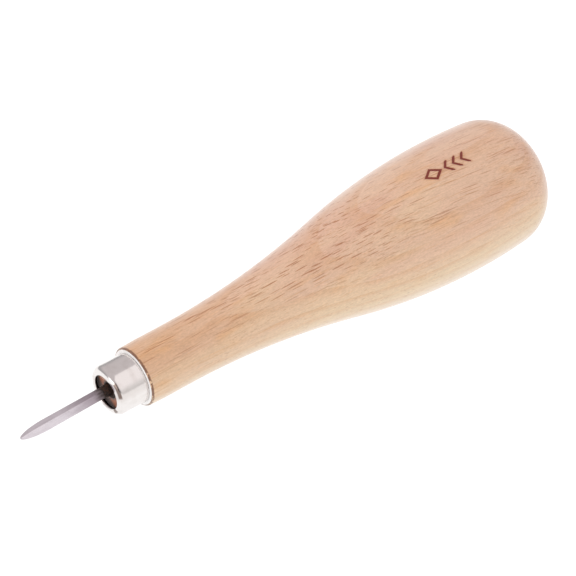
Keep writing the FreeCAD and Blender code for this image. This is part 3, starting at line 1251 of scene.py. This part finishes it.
@dataclass
class Blade:
    """The solid diamond-section blade with its tang, seated with a small roll and lean."""

    reach: float = 22.7
    nose_length: float = 7.0
    half_width: float = 1.47
    half_thickness: float = 0.88
    root_station: float = 1.25
    root_half_width: float = 1.38
    root_half_thickness: float = 0.9
    tang_start: float = 3.2
    tang_half_width: float = 1.3
    tang_half_thickness: float = 1.22
    tang_end: float = 36.0
    tang_end_half_width: float = 0.7
    tang_end_half_thickness: float = 0.66
    ridge_round: float = 0.085
    ridge_steps: int = 2
    roll: float = 30.0
    lean: float = 0.86
    lean_direction: float = 48.0
    lean_pivot: float = -20.0
    nose_steps: int = 22
    finish: GroundSteelFinish = field(default_factory=GroundSteelFinish)

    def seat(self) -> Matrix:
        """The blade's roll and lean in the tool's frame.

        Returns:
            The move.
        """
        heading = math.radians(self.lean_direction)
        hinge = Vector((0.0, -math.sin(heading), math.cos(heading)))
        pivot = Matrix.Translation((self.lean_pivot, 0.0, 0.0))
        lean = pivot @ Matrix.Rotation(math.radians(self.lean), 4, hinge) @ pivot.inverted()
        return lean @ Matrix.Rotation(math.radians(self.roll), 4, "X")

    @staticmethod
    def extend(
        mesh: bmesh.types.BMesh, rim: Edges, travel: float, wide: float, thick: float
    ) -> Edges:
        """Draw a rim of edges on along X, scaled across its width and thickness.

        Args:
            mesh: the mesh.
            rim: the open edges to extend.
            travel: how far along X.
            wide: the scale across the width.
            thick: the scale across the thickness.

        Returns:
            The new rim.
        """
        out = bmesh.ops.extrude_edge_only(mesh, edges=rim)["geom"]
        verts = [g for g in out if isinstance(g, bmesh.types.BMVert)]
        bmesh.ops.scale(mesh, vec=(1.0, wide, thick), verts=verts)
        bmesh.ops.translate(mesh, vec=(travel, 0.0, 0.0), verts=verts)
        ring = set(verts)
        edges = [g for g in out if isinstance(g, bmesh.types.BMEdge)]
        return [edge for edge in edges if set(edge.verts) <= ring]

    def mesh(self) -> bmesh.types.BMesh:
        """Draw the diamond at its widest, then run it out to the nose and to the tang.

        Returns:
            The mesh.
        """
        widest = self.nose_length - self.reach
        mesh = bmesh.new()
        bmesh.ops.create_circle(
            mesh,
            cap_ends=True,
            radius=1.0,
            segments=4,
            matrix=Matrix.Rotation(math.pi / 2, 4, "Y"),
        )
        across = (1.0, self.half_width, self.half_thickness)
        bmesh.ops.scale(mesh, vec=across, verts=mesh.verts[:])
        bmesh.ops.translate(mesh, vec=(widest, 0.0, 0.0), verts=mesh.verts[:])
        bmesh.ops.bevel(
            mesh,
            geom=mesh.verts[:],
            offset=self.ridge_round,
            affect="VERTICES",
            segments=self.ridge_steps,
            profile=0.5,
            material=-1,
        )
        bmesh.ops.delete(mesh, geom=mesh.faces[:], context="FACES_ONLY")
        section = mesh.edges[:]
        self.draw_nose(mesh, section, widest)
        self.draw_tang(mesh, section, widest)
        bmesh.ops.recalc_face_normals(mesh, faces=mesh.faces[:])
        return mesh

    def draw_nose(
        self, mesh: bmesh.types.BMesh, section: Edges, widest: float
    ) -> None:
        """Run the section out to a point along half an ellipse.

        Args:
            mesh: the mesh.
            section: the edges of the widest section.
            widest: the widest section's station.
        """
        rim, station, share = section, widest, 1.0
        for step in range(1, self.nose_steps):
            angle = math.pi / 2 * (1 - step / self.nose_steps)
            goal = (1 - math.cos(angle)) * self.nose_length - self.reach
            scale = math.sin(angle) / share
            rim = self.extend(mesh, rim, goal - station, scale, scale)
            station, share = goal, math.sin(angle)
        tip = self.extend(mesh, rim, -self.reach - station, 1.0, 1.0)
        ends = list({vert for edge in tip for vert in edge.verts})
        bmesh.ops.pointmerge(mesh, verts=ends, merge_co=(-self.reach, 0.0, 0.0))

    def draw_tang(
        self, mesh: bmesh.types.BMesh, section: Edges, widest: float
    ) -> None:
        """Run the section back through the root to the tang's blunt end.

        Args:
            mesh: the mesh.
            section: the edges of the widest section.
            widest: the widest section's station.
        """
        stations = (
            (self.root_station, self.root_half_width, self.root_half_thickness),
            (self.tang_start, self.tang_half_width, self.tang_half_thickness),
            (self.tang_end, self.tang_end_half_width, self.tang_end_half_thickness),
        )
        rim, station = section, widest
        width, thickness = self.half_width, self.half_thickness
        for goal, wide, thick in stations:
            rim = self.extend(mesh, rim, goal - station, wide / width, thick / thickness)
            station, width, thickness = goal, wide, thick
        bmesh.ops.contextual_create(mesh, geom=rim)

    def build(self, tool: ToolFrame) -> bpy.types.Object:
        """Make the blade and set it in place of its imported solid.

        Args:
            tool: the tool's frame.

        Returns:
            The piece.
        """
        seat = tool.turned(self.seat())
        material = self.finish.material(seat)
        piece = finished(
            self.mesh(), "steel_blade", seat, material, sharp_degrees=15.0
        )
        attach(piece, "root")
        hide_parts("blade")
        return piece


@dataclass
class AdhesiveBed:
    """The adhesive round the tang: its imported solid, and the bead that rose round the blade."""

    face_station: float = 1.25
    bead_foot: float = 1.42
    bead_top: float = -0.70
    overlap: float = 0.08
    inner_radius: float = 0.75
    waist: float = 1.0
    hollow: float = 1.6
    profile_steps: int = 8
    ripple: float = 0.20
    ripple_stretch: float = 1.7
    ripple_shift: Place = (3.1, 0.0, 0.0)
    steps: int = 72
    finish: AdhesiveFinish = field(default_factory=AdhesiveFinish)

    def mesh(self) -> bmesh.types.BMesh:
        """Turn the bead, then let its edge run unevenly.

        Returns:
            The mesh.
        """
        sunk = self.face_station + self.overlap
        outline = Outline(sunk, self.inner_radius)
        outline.line(self.bead_top, self.inner_radius)
        for step in range(self.profile_steps + 1):
            angle = math.pi / 2 * step / self.profile_steps
            outline.line(
                sunk + (self.bead_top - sunk) * math.cos(angle),
                self.waist + (self.bead_foot - self.waist) * math.sin(angle) ** self.hollow,
            )
        outline.line(sunk, self.inner_radius)
        mesh = outline.turned(self.steps)
        for vert in mesh.verts:
            outward = Vector((0.0, vert.co.y, vert.co.z))
            if outward.length < self.waist:
                continue
            spot = outward.normalized() * self.ripple_stretch + Vector(self.ripple_shift)
            vert.co += outward * noise.noise(spot) * self.ripple
            vert.co.x = min(vert.co.x, sunk)
        return mesh

    def build(self, tool: ToolFrame, seat: ToolFrame) -> bpy.types.Object:
        """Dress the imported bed, and make the bead about the blade's root.

        Args:
            tool: the tool's frame.
            seat: the blade's own frame.

        Returns:
            The bead.
        """
        material = self.finish.material(tool)
        bed = frame["nodes"]["tang_adhesive"]
        bed.data.materials.clear()
        bed.data.materials.append(material)
        piece = finished(
            self.mesh(), "adhesive_bead", seat, material, sharp_degrees=60.0
        )
        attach(piece, "root")
        return piece


# ---------------- studio


def facing(place: Vector, target: Vector) -> Euler:
    """The turn that points a lamp or a camera from its place at a target."""
    return (target - place).to_track_quat("-Z", "Y").to_euler()


@dataclass(frozen=True)
class Lamp:
    """One soft lamp: the place of its middle and its width and height, in metres.

    Its radiance is how bright its face is beside a white of 1.
    """

    name: str
    place: Place
    size: Pair
    radiance: float
    mirrored: bool = True
    colour: Colour = (1.0, 0.985, 0.965)

    def hang(self, target: Vector) -> None:
        """Hang the lamp so that it faces a target.

        Args:
            target: what it faces.
        """
        light = bpy.data.lights.new(self.name, "AREA")
        light.shape = "RECTANGLE"
        light.size, light.size_y = self.size
        light.energy = self.radiance * math.pi * light.size * light.size_y
        light.color = self.colour
        lamp = bpy.data.objects.new(self.name, light)
        lamp.location = self.place
        lamp.rotation_euler = facing(lamp.location, target)
        lamp.visible_camera = False
        lamp.visible_glossy = self.mirrored
        bpy.context.scene.collection.objects.link(lamp)


@dataclass
class Studio:
    """The floor, the soft light and the camera."""

    floor_radius: float = 4.0
    floor_sides: int = 96
    floor_finish: FloorFinish = field(default_factory=FloorFinish)
    azimuth: float = -38.636
    elevation: float = 31.798
    distance: float = 0.6178
    lens: float = 168.75
    nearest: float = 0.01
    furthest: float = 20.0
    aim_station: float = 52.38
    nudge_right: float = -0.00052
    nudge_up: float = 0.00096
    zenith: Colour = (0.665, 0.615, 0.620)
    horizon: Colour = (0.42, 0.41, 0.415)
    horizon_height: float = 0.04
    zenith_height: float = 0.55
    lamps: tuple[Lamp, ...] = (
        Lamp("softbox", (0.15, -0.45, 0.42), (1.5, 1.08), 0.42),
        Lamp("fill", (-0.35, 0.75, 0.95), (1.2, 1.2), 1.45, mirrored=False),
        Lamp("front", (-0.9, -0.05, 0.16), (0.75, 0.30), 2.0),
    )

    def build_floor(self) -> None:
        """Lay a wide round floor under the tool."""
        mesh = bmesh.new()
        bmesh.ops.create_circle(
            mesh, cap_ends=True, radius=self.floor_radius, segments=self.floor_sides
        )
        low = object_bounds()[0]
        bmesh.ops.translate(mesh, vec=(0.0, 0.0, low[2]), verts=mesh.verts[:])
        data = bpy.data.meshes.new("floor")
        mesh.to_mesh(data)
        mesh.free()
        data.materials.append(self.floor_finish.material())
        floor = bpy.data.objects.new("floor", data)
        bpy.context.scene.collection.objects.link(floor)
        floor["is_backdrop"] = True

    def build_room(self) -> None:
        """Surround the tool with an even pale room that brightens overhead."""
        world = bpy.data.worlds.new("pale_room")
        graph = Graph(world)
        heading = graph.add("ShaderNodeNewGeometry", {}, {})
        drop = Triple(graph, heading.outputs["Incoming"]).parts()[2]
        overhead = drop.fade(-self.horizon_height, -self.zenith_height)
        colour = blend(overhead, self.horizon, self.zenith)
        background = graph.add("ShaderNodeBackground", {}, {"Color": colour})
        graph.add("ShaderNodeOutputWorld", {}, {"Surface": background.outputs["Background"]})
        bpy.context.scene.world = world

    def build_camera(self, target: Vector) -> None:
        """Place the camera round the target.

        Args:
            target: what it faces.
        """
        turn, lift = math.radians(self.azimuth), math.radians(self.elevation)
        back = Vector((
            math.sin(turn) * math.cos(lift),
            -math.cos(turn) * math.cos(lift),
            math.sin(lift),
        ))
        right = Vector((math.cos(turn), math.sin(turn), 0.0))
        up = back.cross(right)
        lens = bpy.data.cameras.new("camera")
        lens.lens = self.lens
        lens.clip_start = self.nearest
        lens.clip_end = self.furthest
        camera = bpy.data.objects.new("camera", lens)
        shift = right * self.nudge_right + up * self.nudge_up
        camera.location = target + back * self.distance + shift
        camera.rotation_euler = facing(back, Vector())
        bpy.context.scene.collection.objects.link(camera)
        bpy.context.scene.camera = camera

    def build(self, tool: ToolFrame) -> None:
        """Set up the floor, the light and the camera about the tool.

        Args:
            tool: the tool's frame.
        """
        target = tool.point(self.aim_station)
        self.build_floor()
        for lamp in self.lamps:
            lamp.hang(target)
        self.build_room()
        self.build_camera(target)
        bpy.context.scene.view_settings.view_transform = "Standard"


def main() -> None:
    """Build every piece in order, then the studio."""
    logging.basicConfig(level=logging.INFO, format="%(name)s %(message)s")
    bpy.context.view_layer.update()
    ferrule, handle, blade, bed = Ferrule(), Handle(), Blade(), AdhesiveBed()
    tool = ToolFrame.on_ferrule(frame["record"]["mounts"], ferrule.mount_station)
    pieces = (
        handle.build(tool),
        ferrule.build(tool),
        blade.build(tool),
        bed.build(tool, tool.turned(blade.seat())),
    )
    for piece in pieces:
        log.info("%s: %s mm", piece.name, [round(1000 * side, 2) for side in piece.dimensions])
    Studio().build(tool)


if __name__ == "__main__":
    main()
